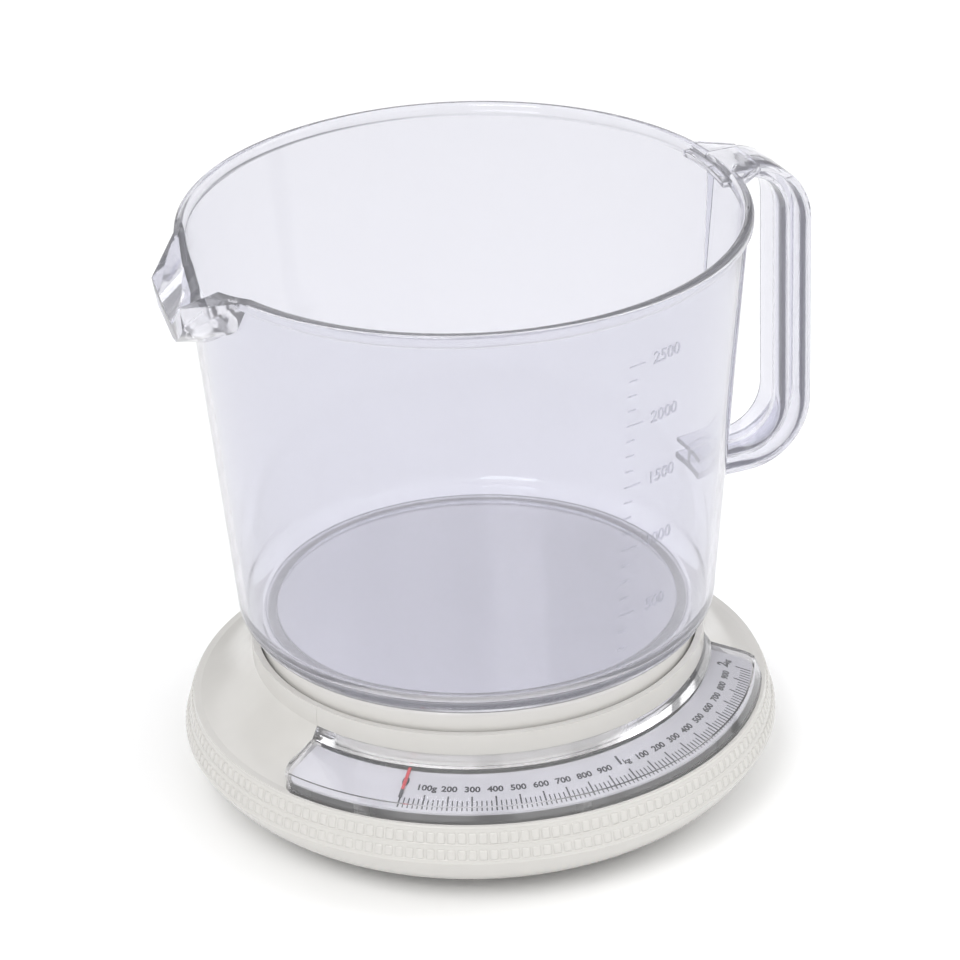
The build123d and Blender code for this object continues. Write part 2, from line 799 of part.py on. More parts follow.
export("pointer_rack", make_rack())
export("rack_pin", make_rack_pin())
export("rack_guide", make_rack_guide())
export("measuring_jug", make_jug())
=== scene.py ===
import math

import bmesh
import bpy
from mathutils import Matrix, Vector


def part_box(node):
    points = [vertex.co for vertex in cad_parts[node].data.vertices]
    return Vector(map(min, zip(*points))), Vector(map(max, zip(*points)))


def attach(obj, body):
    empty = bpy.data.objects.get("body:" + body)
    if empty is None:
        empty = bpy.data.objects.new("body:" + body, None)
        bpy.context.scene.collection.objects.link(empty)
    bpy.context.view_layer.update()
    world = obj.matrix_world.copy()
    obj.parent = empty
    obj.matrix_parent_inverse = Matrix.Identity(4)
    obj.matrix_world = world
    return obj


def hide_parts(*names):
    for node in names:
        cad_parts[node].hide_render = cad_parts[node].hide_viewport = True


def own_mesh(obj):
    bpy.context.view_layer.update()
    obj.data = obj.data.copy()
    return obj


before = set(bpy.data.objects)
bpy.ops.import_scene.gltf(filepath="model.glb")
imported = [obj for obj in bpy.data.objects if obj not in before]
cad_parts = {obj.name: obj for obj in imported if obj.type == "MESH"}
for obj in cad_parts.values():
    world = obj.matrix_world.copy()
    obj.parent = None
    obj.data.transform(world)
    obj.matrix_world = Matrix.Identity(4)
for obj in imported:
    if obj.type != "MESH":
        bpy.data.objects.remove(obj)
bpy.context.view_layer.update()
mm = 0.001


# Small helpers

def toLinear(hexColour):
    parts = [int(hexColour[i:i + 2], 16) / 255 for i in (0, 2, 4)]
    return tuple(p / 12.92 if p <= 0.04045 else ((p + 0.055) / 1.055) ** 2.4 for p in parts) + (1.0,)


def addNode(tree, kind, settings=None, links=None):
    # settings go to sockets by name or to the node itself; links are (output socket, input name or number)
    node = tree.nodes.new(kind)
    for key, value in (settings or {}).items():
        if isinstance(key, str) and hasattr(node, key):
            setattr(node, key, value)
        else:
            node.inputs[key].default_value = value
    for output, place in links or ():
        tree.links.new(output, node.inputs[place])
    return node


def startMaterial(name):
    material = bpy.data.materials.new(name)
    material.use_nodes = True
    tree = material.node_tree
    tree.nodes.clear()
    output = addNode(tree, "ShaderNodeOutputMaterial")
    return material, tree, output


def arcPoints(centre, radius, startDegrees, endDegrees, steps):
    # points (radius, height) along an arc in the turning plane
    turns = [math.radians(startDegrees + (endDegrees - startDegrees) * i / steps) for i in range(steps + 1)]
    return [(centre[0] + radius * math.cos(t), centre[1] + radius * math.sin(t)) for t in turns]


def spinProfile(points, steps):
    # a closed outline (radius, height) in mm turned once round the Z axis
    bm = bmesh.new()
    corners = [bm.verts.new((r * mm, 0, z * mm)) for r, z in points]
    for i, corner in enumerate(corners):
        if points[i][0] + points[i - 1][0] > 0:
            bm.edges.new((corners[i - 1], corner))
    bmesh.ops.spin(bm, geom=bm.verts[:] + bm.edges[:], cent=(0, 0, 0), axis=(0, 0, 1),
                   angle=math.tau, steps=steps, use_merge=True)
    bmesh.ops.remove_doubles(bm, verts=bm.verts[:], dist=1e-6)
    bmesh.ops.recalc_face_normals(bm, faces=bm.faces[:])
    return bm


def slab(outline, low, high, axis="Z"):
    # a flat outline given as (a, b) in mm, thickened from low to high along an axis
    bm = bmesh.new()
    places = {"Z": lambda a, b: (a, b, low), "Y": lambda a, b: (a, low, b)}[axis]
    corners = [bm.verts.new(Vector(places(a, b)) * mm) for a, b in outline]
    face = bm.faces.new(corners)
    grown = bmesh.ops.extrude_face_region(bm, geom=[face])
    step = {"Z": Vector((0, 0, high - low)), "Y": Vector((0, high - low, 0))}[axis] * mm
    bmesh.ops.translate(bm, verts=[v for v in grown["geom"] if isinstance(v, bmesh.types.BMVert)], vec=step)
    bmesh.ops.recalc_face_normals(bm, faces=bm.faces[:])
    return bm


def hullOf(points):
    bm = bmesh.new()
    for p in points:
        bm.verts.new(Vector(p) * mm)
    bmesh.ops.convex_hull(bm, input=bm.verts[:])
    bmesh.ops.recalc_face_normals(bm, faces=bm.faces[:])
    return bm


def toObject(bm, name):
    mesh = bpy.data.meshes.new(name)
    bm.to_mesh(mesh)
    bm.free()
    piece = bpy.data.objects.new(name, mesh)
    bpy.context.scene.collection.objects.link(piece)
    return piece


def combine(name, first, steps):
    # steps are (operation, bmesh); the result is one closed mesh
    base = toObject(first, name)
    tools = []
    for number, (operation, bm) in enumerate(steps):
        tool = toObject(bm, f"{name}_tool{number}")
        tools.append(tool)
        modifier = base.modifiers.new(f"step{number}", "BOOLEAN")
        modifier.operation = operation
        modifier.solver = "EXACT"
        modifier.object = tool
    bpy.context.view_layer.update()
    ready = base.evaluated_get(bpy.context.evaluated_depsgraph_get())
    mesh = bpy.data.meshes.new_from_object(ready)
    base.modifiers.clear()
    base.data = mesh
    for tool in tools:
        bpy.data.objects.remove(tool)
    return base


def softened(bm, width, segments, smallest=25.0):
    # the sharp edges of a closed solid rounded by a width in mm
    sharp = [e for e in bm.edges if len(e.link_faces) == 2 and e.calc_face_angle(0) > math.radians(smallest)]
    bmesh.ops.bevel(bm, geom=sharp, offset=width * mm, offset_type="OFFSET", segments=segments, profile=0.5,
                    affect="EDGES", clamp_overlap=True, material=-1)
    bmesh.ops.recalc_face_normals(bm, faces=bm.faces[:])
    return bm


def smoothShade(piece, limit=30.0):
    mesh = piece.data
    for face in mesh.polygons:
        face.use_smooth = True
    mesh.set_sharp_from_angle(angle=math.radians(limit))


def finishPiece(piece, material, body, replaced=None):
    piece.data.materials.clear()
    piece.data.materials.append(material)
    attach(piece, body)
    if replaced:
        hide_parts(*replaced)
    return piece


# Materials

def addBump(tree, size, depth, detail=2.0):
    # size of the bumps and their height, both in mm
    place = addNode(tree, "ShaderNodeTexCoord")
    noise = addNode(tree, "ShaderNodeTexNoise", {"Scale": 1 / (size * mm), "Detail": detail},
                    [(place.outputs["Object"], "Vector")])
    bump = addNode(tree, "ShaderNodeBump", {"Strength": 1.0, "Distance": depth * mm},
                   [(noise.outputs["Fac"], "Height")])
    return noise, bump


def mouldedAbs(name, colour, roughness, waviness):
    # moulded ABS: an even satin gloss with a slow orange-peel waviness and a very slight change of shade
    material, tree, output = startMaterial(name)
    noise, bump = addBump(tree, 9.0, waviness)
    ramp = addNode(tree, "ShaderNodeMapRange", {"From Min": 0.3, "From Max": 0.7, "To Min": roughness - 0.03,
                                                "To Max": roughness + 0.04}, [(noise.outputs["Fac"], "Value")])
    tone = addNode(tree, "ShaderNodeValToRGB", None, [(noise.outputs["Fac"], "Fac")])
    tone.color_ramp.elements[0].color = toLinear(colour[0])
    tone.color_ramp.elements[1].color = toLinear(colour[1])
    shader = addNode(tree, "ShaderNodeBsdfPrincipled", {"IOR": 1.53},
                     [(tone.outputs["Color"], "Base Color"), (ramp.outputs["Result"], "Roughness"),
                      (bump.outputs["Normal"], "Normal")])
    tree.links.new(shader.outputs["BSDF"], output.inputs["Surface"])
    return material


def clearPlastic(name, tint, ior, clear, lampTint):
    # injection moulded clear plastic: glossy, faintly tinted and a little hazy, with a slow moulding ripple;
    # lamps shine through it
    material, tree, output = startMaterial(name)
    bump = addBump(tree, 28.0, 0.012, 1.0)[1]
    shader = addNode(tree, "ShaderNodeBsdfPrincipled",
                     {"Base Color": toLinear(tint), "Roughness": 0.012, "IOR": ior, "Transmission Weight": clear},
                     [(bump.outputs["Normal"], "Normal")])
    through = addNode(tree, "ShaderNodeBsdfTransparent", {"Color": toLinear(lampTint)})
    path = addNode(tree, "ShaderNodeLightPath")
    mix = addNode(tree, "ShaderNodeMixShader", None, [(path.outputs["Is Shadow Ray"], 0),
                                                      (shader.outputs["BSDF"], 1), (through.outputs["BSDF"], 2)])
    tree.links.new(mix.outputs["Shader"], output.inputs["Surface"])
    return material


def plainMetal(name, colour, roughness, grainSize, grainDepth, stretch=(1, 1, 1)):
    # plated, drawn or turned metal; its grain runs along the axes with a small stretch value
    material, tree, output = startMaterial(name)
    place = addNode(tree, "ShaderNodeTexCoord")
    turn = addNode(tree, "ShaderNodeMapping", {"Scale": stretch}, [(place.outputs["Object"], "Vector")])
    noise = addNode(tree, "ShaderNodeTexNoise", {"Scale": 1 / (grainSize * mm), "Detail": 3.0},
                    [(turn.outputs["Vector"], "Vector")])
    bump = addNode(tree, "ShaderNodeBump", {"Distance": grainDepth * mm}, [(noise.outputs["Fac"], "Height")])
    rough = addNode(tree, "ShaderNodeMapRange", {"To Min": roughness - 0.06, "To Max": roughness + 0.08},
                    [(noise.outputs["Fac"], "Value")])
    shader = addNode(tree, "ShaderNodeBsdfPrincipled", {"Base Color": toLinear(colour), "Metallic": 1.0},
                     [(rough.outputs["Result"], "Roughness"), (bump.outputs["Normal"], "Normal")])
    tree.links.new(shader.outputs["BSDF"], output.inputs["Surface"])
    return material


def satinLacquer(name, colours, metallic, roughness):
    # lacquer or ink on sheet metal: a satin film with fine flakes, metallic for the silver dial
    material, tree, output = startMaterial(name)
    noise, bump = addBump(tree, 0.5, 0.002)
    tone = addNode(tree, "ShaderNodeValToRGB", None, [(noise.outputs["Fac"], "Fac")])
    tone.color_ramp.elements[0].color = toLinear(colours[0])
    tone.color_ramp.elements[1].color = toLinear(colours[1])
    shader = addNode(tree, "ShaderNodeBsdfPrincipled", {"Metallic": metallic, "Roughness": roughness},
                     [(tone.outputs["Color"], "Base Color"), (bump.outputs["Normal"], "Normal")])
    tree.links.new(shader.outputs["BSDF"], output.inputs["Surface"])
    return material


creamAbs = mouldedAbs("glossyCreamAbs", ("CCCAC6", "D0CECA"), 0.2, 0.02)
whiteAcetal = mouldedAbs("naturalAcetal", ("E4E4E0", "EBEBE8"), 0.42, 0.01)
blackAbs = mouldedAbs("satinBlackAbs", ("1A1A1B", "202022"), 0.38, 0.03)
blackRubber = mouldedAbs("mattRubber", ("1C1C1C", "262626"), 0.75, 0.06)
clearSan = clearPlastic("clearSan", "E5E5EB", 1.50, 0.91, "FBFBFE")
clearStyrene = clearPlastic("polishedClearStyrene", "FAFAFC", 1.53, 0.96, "FDFDFF")
dialLacquer = satinLacquer("silverDialLacquer", ("C0BFC3", "CECDD1"), 0.3, 0.36)
dialInk = satinLacquer("blackDialInk", ("131217", "1C1B20"), 0.0, 0.45)
redLacquer = satinLacquer("redPointerLacquer", ("B5101C", "C01822"), 0.0, 0.3)
zincSteel = plainMetal("zincPlatedSteel", "B9BCC2", 0.32, 0.6, 0.004)
springSteel = plainMetal("drawnSpringSteel", "8F9298", 0.28, 0.25, 0.003, (1, 1, 0.2))
turnedBrass = plainMetal("turnedBrass", "C7A25B", 0.24, 0.3, 0.003, (0.1, 0.1, 1))
print("materials ready")

nodeMaterials = {
    "upper_housing": creamAbs, "lower_housing": creamAbs, "platform_cap": creamAbs,
    "dial_lens": clearStyrene, "dial_plate": dialLacquer, "measuring_jug": clearSan,
    "rubber_feet": blackRubber, "zero_knob": blackAbs,
    "platform_carrier": whiteAcetal, "bell_crank": whiteAcetal, "pointer_hub": whiteAcetal,
    "spring_cap": whiteAcetal, "spring_seat": whiteAcetal,
    "main_spring": springSteel, "stem_clip": springSteel, "knob_clip": springSteel,
    "guide_tube": turnedBrass, "tube_collar": turnedBrass, "pointer_rack": turnedBrass,
    "pointer_needle": redLacquer,
}
for nodeName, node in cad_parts.items():
    node.data.materials.clear()
    node.data.materials.append(nodeMaterials.get(nodeName, zincSteel))
print("CAD nodes have their materials")

print("camera and light")
cameraView = {
    "azimuth": -22.5, "elevation": 27.496, "distance": 1.42885, "targetHeight": 0.1,
    "shiftRight": 0.00239, "shiftUp": 0.0064, "roll": -1.90, "lens": 161.79,
}


def placeCamera(view):
    turn, lean = math.radians(view["azimuth"]), math.radians(view["elevation"])
    back = Vector((math.sin(turn) * math.cos(lean), -math.cos(turn) * math.cos(lean), math.sin(lean)))
    right = Vector((math.cos(turn), math.sin(turn), 0))
    up = back.cross(right)
    target = Vector((0, 0, view["targetHeight"])) + right * view["shiftRight"] + up * view["shiftUp"]
    data = bpy.data.cameras.new("productCamera")
    data.lens = view["lens"]
    data.sensor_width = 36
    data.clip_start = 0.01
    camera = bpy.data.objects.new("productCamera", data)
    bpy.context.scene.collection.objects.link(camera)
    facing = Matrix((right, up, back)).transposed().to_4x4()
    roll = Matrix.Rotation(math.radians(view["roll"]), 4, "Z")
    camera.matrix_world = Matrix.Translation(target + back * view["distance"]) @ facing @ roll
    bpy.context.scene.camera = camera


placeCamera(cameraView)

studio = {
    "worldTop": 1.28, "worldSide": 0.8, "patchScale": 2.6, "patchDark": 0.3, "floorColour": "FFFFFF",
    "keyPower": 12.0, "keySize": 0.8, "keyPlace": (-1.0, -1.0, 1.6),
    "fillPower": 5.0, "fillSize": 1.2, "fillPlace": (1.5, -0.6, 1.2),
}


def lightStudio(values):
    # white surroundings that dim towards the sides, with soft dark flags low down for clear edges
    world = bpy.data.worlds.new("whiteStudio")
    world.use_nodes = True
    tree = world.node_tree
    tree.nodes.clear()
    place = addNode(tree, "ShaderNodeTexCoord")
    split = addNode(tree, "ShaderNodeSeparateXYZ", None, [(place.outputs["Generated"], "Vector")])
    height = addNode(tree, "ShaderNodeMapRange", {"From Min": 0.0, "From Max": 0.6, "To Min": values["worldSide"],
                                                  "To Max": values["worldTop"]}, [(split.outputs["Z"], "Value")])
    flags = addNode(tree, "ShaderNodeTexNoise", {"Scale": values["patchScale"], "Detail": 0.0},
                    [(place.outputs["Generated"], "Vector")])
    patch = addNode(tree, "ShaderNodeMapRange", {"From Min": 0.42, "From Max": 0.52, "To Min": values["patchDark"],
                                                 "To Max": 1.12}, [(flags.outputs["Fac"], "Value")])
    strength = addNode(tree, "ShaderNodeMath", {"operation": "MULTIPLY"},
                       [(height.outputs["Result"], 0), (patch.outputs["Result"], 1)])
    sky = addNode(tree, "ShaderNodeBackground", {"Color": (1, 1, 1, 1)}, [(strength.outputs["Value"], "Strength")])
    output = addNode(tree, "ShaderNodeOutputWorld", None, [(sky.outputs["Background"], "Surface")])
    bpy.context.scene.world = world
    for label in ("key", "fill"):
        data = bpy.data.lights.new(label + "Softbox", "AREA")
        data.energy = values[label + "Power"]
        data.size = values[label + "Size"]
        lamp = bpy.data.objects.new(label + "Softbox", data)
        bpy.context.scene.collection.objects.link(lamp)
        lamp.location = values[label + "Place"]
        lamp.rotation_mode = "QUATERNION"
        lamp.rotation_quaternion = (Vector(values[label + "Place"]) - Vector((0, 0, 0.1))).to_track_quat("Z", "Y")
    bm = bmesh.new()
    bmesh.ops.create_grid(bm, x_segments=2, y_segments=2, size=6.0)
    floor = toObject(bm, "paleFloor")
    material, tree, output = startMaterial("paleFloorPaint")
    shader = addNode(tree, "ShaderNodeBsdfPrincipled",
                     {"Base Color": toLinear(values["floorColour"]), "Roughness": 0.9, "Specular IOR Level": 0.0})
    tree.links.new(shader.outputs["BSDF"], output.inputs["Surface"])
    floor.data.materials.append(material)
    bpy.context.scene.view_settings.view_transform = "Standard"
    bpy.context.scene.cycles.max_bounces = 28
    bpy.context.scene.cycles.transmission_bounces = 24


lightStudio(studio)

print("spring")


def coiledSpring():
    # a merged copy of the main spring
    bm = bmesh.new()
    bm.from_mesh(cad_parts["main_spring"].data)
    bmesh.ops.remove_doubles(bm, verts=bm.verts[:], dist=1e-6)
    bmesh.ops.recalc_face_normals(bm, faces=bm.faces[:])
    piece = toObject(bm, "coiledSpring")
    smoothShade(piece)
    finishPiece(piece, springSteel, "root", ["main_spring"])
    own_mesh(piece)


coiledSpring()

print("jug")
jugLow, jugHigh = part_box("measuring_jug")
jug = {
    "standHeight": jugLow[2] / mm, "top": jugHigh[2] / mm, "footRadius": 71.0, "footInner": 67.0, "footDepth": 2.0,
    "floor": 3.0, "cornerRadius": 79.8, "cornerHeight": 8.9, "wall": 2.2, "rimWall": 91.2, "rimHeight": 5.0,
    "rimOut": 1.7, "edgeRound": 1.5, "beadStep": (0.5, 0.9), "beadFull": 1.9, "lipIn": 0.35, "footTaper": (0.4, 0.6),
    "footBevel": (0.2, 0.5), "cutStep": 0.03, "cutAbove": 3, "steps": 180, "rings": (90, 105, 170, 178, 188),
}
spout = {
    "root": (-84.6, 34.7), "lip": (-102.0, 13.4, 197.0), "mouth": (-86.7, 12.9, 200.0),
    "lipSide": (-100.8, 11.4, 188.0), "lipBottom": (-99.8, 1.5, 180.2),
    "rootSide": (-82.0, 29.0, 192.0), "rootBottom": (-84.0, 4.0, 178.0),
    "sill": (-88.0, 192.0), "lipSill": (-100.5, 186.6), "lipWall": 1.2, "sillHalf": 0.6,
    "hullBack": -78, "hullTop": 206, "hullLift": 2, "cutBack": -70, "cutFront": -110, "cutSide": 42.0,
    "channelOver": 3, "channelTop": 215, "cutTop": 225,
}
handle = {
    "outer": 120.2, "inner": 110.6, "low": 93.0, "lowInner": 100.6, "highInner": 200.4, "bend": 15.0,
    "outerBend": 23.0, "halfWidth": 9.65, "flange": 2.3, "web": 2.4, "root": 80.0,
    "lugRoot": 18.0, "lugBack": 86, "lugFront": 92, "lugReach": 101.5, "lugDrop": 3.0, "edge": 0.4, "thinner": 0.6,
}
ledge = {
    "inner": 86.2, "outer": 90.6, "span": 10.0, "low": 200.9, "drop": 1.2, "round": 0.5, "ribHalf": 0.35,
    "ribLow": (160.0, 84.9, 86.6), "ribHigh": (1, 90.4, 86.9),
}


def onLine(start, end, heights):
    # the points of a straight profile line at the given heights
    return [(start[0] + (end[0] - start[0]) * (z - start[1]) / (end[1] - start[1]), z) for z in heights]


def jugWall(values):
    # the outside outline from the axis up to the rim, the inside one, and the rounded lip between them
    v = values
    low, top, wall = v["standHeight"], v["top"], v["wall"]
    bend = v["cornerHeight"]
    corner = arcPoints((v["cornerRadius"] - bend, low + bend), bend, -80, 0, 10)
    rimLow = (v["rimWall"], top - v["rimHeight"])
    outRadius = v["rimWall"] + v["rimOut"]
    bead = [(outRadius - v["beadStep"][0], top - v["rimHeight"] + v["beadStep"][1]),
            (outRadius, top - v["rimHeight"] + v["beadFull"])]
    upper = arcPoints((outRadius - v["edgeRound"], top - v["edgeRound"]), v["edgeRound"], 0, 90, 6)
    outside = [(0, low + v["footDepth"]), (v["footInner"], low + v["footDepth"]),
               (v["footInner"] + v["footTaper"][0], low), (v["footRadius"] - v["footTaper"][1], low),
               (v["footRadius"] + v["footBevel"][0], low + v["footBevel"][1])] + corner
    outside += onLine(corner[-1], rimLow, v["rings"]) + [rimLow] + bead + upper
    innerLow = low + v["footDepth"] + v["floor"]
    innerBend = bend - wall
    foot = v["cornerRadius"] - wall
    innerTop = v["rimWall"] - wall + v["lipIn"]
    inner = [(0, innerLow)] + arcPoints((foot - innerBend, innerLow + innerBend), innerBend, -90, 0, 10)
    lip = arcPoints((innerTop + v["edgeRound"], top - v["edgeRound"]), v["edgeRound"], 180, 90, 6)
    return outside, inner + onLine(inner[-1], lip[0], v["rings"]), lip


def solidOutside(values):
    return spinProfile(jugWall(values)[0] + [(0, values["top"])], values["steps"])


def solidInside(values):
    # it ends a little above the rim, so its faces never lie in the rim's top
    inner, lip = jugWall(values)[1:]
    mouth, high = lip[-1][0], values["top"] + values["cutAbove"]
    above = [(mouth, values["top"] + values["cutStep"]), (mouth, high), (0, high)]
    return spinProfile(inner + lip[:-1] + above, values["steps"])


def spoutHull(v):
    points = []
    for side in (-1, 1):
        points += [(v["root"][0], side * v["root"][1], v["hullTop"]),
                   (v["lip"][0], side * v["lip"][1], v["lip"][2] + v["hullLift"]),
                   (v["hullBack"], side * v["root"][1], v["hullTop"]),
                   (v["hullBack"], side * v["rootSide"][1], v["rootSide"][2])]
        for name in ("lipSide", "lipBottom", "rootSide", "rootBottom"):
            points.append((v[name][0], side * v[name][1], v[name][2]))
    return hullOf(points)


def spoutChannel(v):
    # a straight V-shaped trough through the lip, reaching a little past both its ends
    points = []
    for start, end, half in ((v["lip"], v["mouth"], 1), (v["lipSill"], v["sill"], 0)):
        for x in (v["lip"][0] - v["channelOver"], v["cutBack"]):
            share = (x - start[0]) / (end[0] - start[0])
            z = start[-1] + (end[-1] - start[-1]) * share
            across = half * (start[1] + (end[1] - start[1]) * share - v["lipWall"])
            if half:
                points += [(x, turn * across, height) for height in (z, v["channelTop"]) for turn in (1, -1)]
            else:
                points += [(x, v["sillHalf"], z), (x, -v["sillHalf"], z)]
    return hullOf(points)


def wingCut(v, side, top):
    # everything above the sloping flat between the rim, the lip's corner and the channel's mouth
    a = Vector((v["root"][0], v["root"][1], top))
    b, c = Vector(v["lip"]), Vector(v["mouth"])
    normal = (b - a).cross(c - a)

    def onPlane(x, y):
        return a.z - (normal.x * (x - a.x) + normal.y * (y - a.y)) / normal.z

    corners = [(x, y) for x in (v["cutFront"], v["cutBack"]) for y in (0.0, v["cutSide"])]
    points = [(x, side * y, onPlane(x, y)) for x, y in corners] + [(x, side * y, v["cutTop"]) for x, y in corners]
    return hullOf(points)


def handleOutline(reach, low, high, bend, root):
    corner = arcPoints((reach - bend, low + bend), bend, -90, 0, 12)
    shoulder = arcPoints((reach - bend, high - bend), bend, 0, 90, 12)
    return [(root, low)] + corner + shoulder + [(root, high)]


def handleSolids(v, top):
    outer = handleOutline(v["outer"], v["low"], top, v["outerBend"], v["root"])
    outerIn = handleOutline(v["outer"] - v["flange"], v["low"] + v["flange"], top - v["flange"],
                            v["outerBend"] - v["flange"], v["root"])
    inner = handleOutline(v["inner"], v["lowInner"], v["highInner"], v["bend"], v["root"])
    grow = v["flange"] - v["thinner"]
    innerOut = handleOutline(v["inner"] + grow, v["lowInner"] - grow, v["highInner"] + grow, v["bend"] + grow,
                             v["root"])
    half, edge = v["halfWidth"], v["edge"]
    return [softened(slab(outer + outerIn[::-1], -half, half, "Y"), edge, 3),
            softened(slab(innerOut + inner[::-1], -half, half, "Y"), edge, 3),
            slab(outer + inner[::-1], -v["web"] / 2, v["web"] / 2, "Y")]


def innerLedge(v, top):
    # the shelf behind the handle's lug and the thin rib below it
    steps = [-v["span"] + v["span"] * i / 5 for i in range(11)]
    rings = [[(r * math.cos(math.radians(t)), r * math.sin(math.radians(t))) for t in steps]
             for r in (v["inner"], v["outer"])]
    shelf = softened(slab(rings[0] + rings[1][::-1], v["low"], top - v["drop"]), v["round"], 3)
    foot, head = v["ribLow"], v["ribHigh"]
    rib = slab([(foot[1], foot[0]), (foot[2], foot[0]), (head[1], v["low"] + head[0]), (head[2], v["low"] + head[0])],
               -v["ribHalf"], v["ribHalf"], "Y")
    return [shelf, rib]


def makeJug():
    v = handle
    lug = [(v["lugBack"], -v["lugRoot"]), (v["lugBack"], v["lugRoot"]), (v["lugFront"], v["lugRoot"] - 1),
           (v["lugReach"], v["halfWidth"]), (v["lugReach"], -v["halfWidth"]), (v["lugFront"], 1 - v["lugRoot"])]
    steps = [("UNION", spoutHull(spout))]
    steps += [("UNION", bm) for bm in handleSolids(handle, jug["top"])]
    steps += [("UNION", softened(slab(lug, jug["top"] - v["lugDrop"], jug["top"]), v["edge"], 3))]
    steps += [("DIFFERENCE", solidInside(jug)), ("DIFFERENCE", spoutChannel(spout))]
    steps += [("DIFFERENCE", wingCut(spout, side, jug["top"])) for side in (-1, 1)]
    steps += [("UNION", bm) for bm in innerLedge(ledge, jug["top"])]
    piece = combine("clearJug", solidOutside(jug), steps)
    smoothShade(piece, 35)
    return finishPiece(piece, clearSan, "jug", ["measuring_jug"])


makeJug()

print("dial print")
dial = {
    "slope": 19.0, "outerRadius": 92.3, "outerHeight": 35.392, "lift": 0.03, "thickness": 0.03,
    "zeroAngle": -130.0, "degreesPer100": 5.07, "tickOuter": 91.4, "minorLength": 3.6, "majorLength": 5.4,
    "minorWidth": 0.42, "majorWidth": 0.56, "numberRadius": 83.6, "numberHeight": 2.2, "stroke": 0.05,
    "numberWide": 1.1, "zeroRadius": 82.0, "kiloRadius": 82.2, "kiloHeight": 3.6, "kiloWide": 0.9, "kiloShift": -0.8,
    "unitRadius": 83.4, "unitHeight": 2.0, "unitShift": 0.9, "capacity": 2000,
}


def wrapOnDial(bm, angle, radius):
    # x runs round the dial, y towards its centre, z off its face; all in mm before, metres after
    lean = math.radians(dial["slope"])
    for v in bm.verts:
        away = radius - v.co.y * math.cos(lean)
        height = dial["outerHeight"] + (dial["outerRadius"] - away) * math.tan(lean)
        turn = math.radians(angle) + v.co.x / radius
        spot = Vector((away + math.sin(lean) * v.co.z, 0, height + math.cos(lean) * v.co.z))
        v.co = Vector((spot.x * math.cos(turn), spot.x * math.sin(turn), spot.z)) * mm


def addTo(target, bm):
    mesh = bpy.data.meshes.new("part")
    bm.to_mesh(mesh)
    bm.free()
    target.from_mesh(mesh)
    bpy.data.meshes.remove(mesh)


def addTick(target, angle, length, width):
    bm = bmesh.new()
    bmesh.ops.create_cube(bm, size=1.0)
    bmesh.ops.scale(bm, verts=bm.verts[:], vec=(width, length, dial["thickness"]))
    bmesh.ops.translate(bm, verts=bm.verts[:], vec=(0, length / 2, dial["lift"]))
    wrapOnDial(bm, angle, dial["tickOuter"])
    addTo(target, bm)


def textSolid(text, height, stroke, thickness):
    # a number lying flat, its middle on the origin, as one mesh in mm
    curve = bpy.data.curves.new("number", "FONT")
    curve.body = text
    curve.size = height / 0.7
    curve.align_x = "CENTER"
    curve.align_y = "CENTER"
    curve.resolution_u = 3
    curve.offset = height * stroke
    curve.extrude = thickness / 2
    holder = bpy.data.objects.new("number", curve)
    bpy.context.scene.collection.objects.link(holder)
    bpy.context.view_layer.update()
    mesh = bpy.data.meshes.new_from_object(holder.evaluated_get(bpy.context.evaluated_depsgraph_get()))
    bpy.data.objects.remove(holder)
    bm = bmesh.new()
    bm.from_mesh(mesh)
    bpy.data.meshes.remove(mesh)
    bmesh.ops.remove_doubles(bm, verts=bm.verts[:], dist=1e-4)
    return bm


def addNumber(target, text, angle, radius, height, squeeze):
    bm = textSolid(text, height, dial["stroke"], dial["thickness"])
    bmesh.ops.scale(bm, verts=bm.verts[:], vec=(squeeze, 1, 1))
    bmesh.ops.translate(bm, verts=bm.verts[:], vec=(0, 0, dial["lift"]))
    wrapOnDial(bm, angle, radius)
    addTo(target, bm)


def dialPrint():
    bm = bmesh.new()
    for grams in range(0, dial["capacity"] + 1, 20):
        angle = dial["zeroAngle"] + dial["degreesPer100"] * grams / 100
        major = grams % 100 == 0
        addTick(bm, angle, dial["majorLength" if major else "minorLength"],
                dial["majorWidth" if major else "minorWidth"])
    addNumber(bm, "0", dial["zeroAngle"], dial["zeroRadius"], dial["kiloHeight"], dial["kiloWide"])
    for hundreds in range(1, dial["capacity"] // 100 + 1):
        angle = dial["zeroAngle"] + dial["degreesPer100"] * hundreds
        if hundreds % 10:
            label = str(hundreds % 10 * 100) + ("g" if hundreds == 1 else "")
            addNumber(bm, label, angle, dial["numberRadius"], dial["numberHeight"], dial["numberWide"])
        else:
            addNumber(bm, str(hundreds // 10), angle + dial["kiloShift"], dial["kiloRadius"], dial["kiloHeight"],
                      dial["kiloWide"])
            addNumber(bm, "kg", angle + dial["unitShift"], dial["unitRadius"], dial["unitHeight"], 1.0)
    piece = toObject(bm, "dialPrint")
    return finishPiece(piece, dialInk, "root")


dialPrint()

print("jug graduations")
marks = {
    "angle": -79.0, "millilitres": 125, "most": 2500, "short": 3.0, "long": 6.0, "thick": 0.45, "stand": 0.22,
    "sunk": 0.05, "numberHeight": 4.2, "numberGap": 4.6, "stroke": 0.0,
}


def jugRadiusAt(z, inside=0.0):
    low = jug["standHeight"] + jug["cornerHeight"]
    share = (z - low) / (jug["top"] - jug["rimHeight"] - low)
    return jug["cornerRadius"] + (jug["rimWall"] - jug["cornerRadius"]) * share - inside


def fillHeights():
    # the height of each mark, found by adding up thin layers of the jug's inside
    z, held, places = jug["standHeight"] + jug["footDepth"] + jug["floor"], 0.0, []
    while len(places) * marks["millilitres"] < marks["most"]:
        held += math.pi * jugRadiusAt(z, jug["wall"]) ** 2 * 0.1 / 1000
        z += 0.1
        if held >= (len(places) + 1) * marks["millilitres"]:
            places.append(z)
    return places


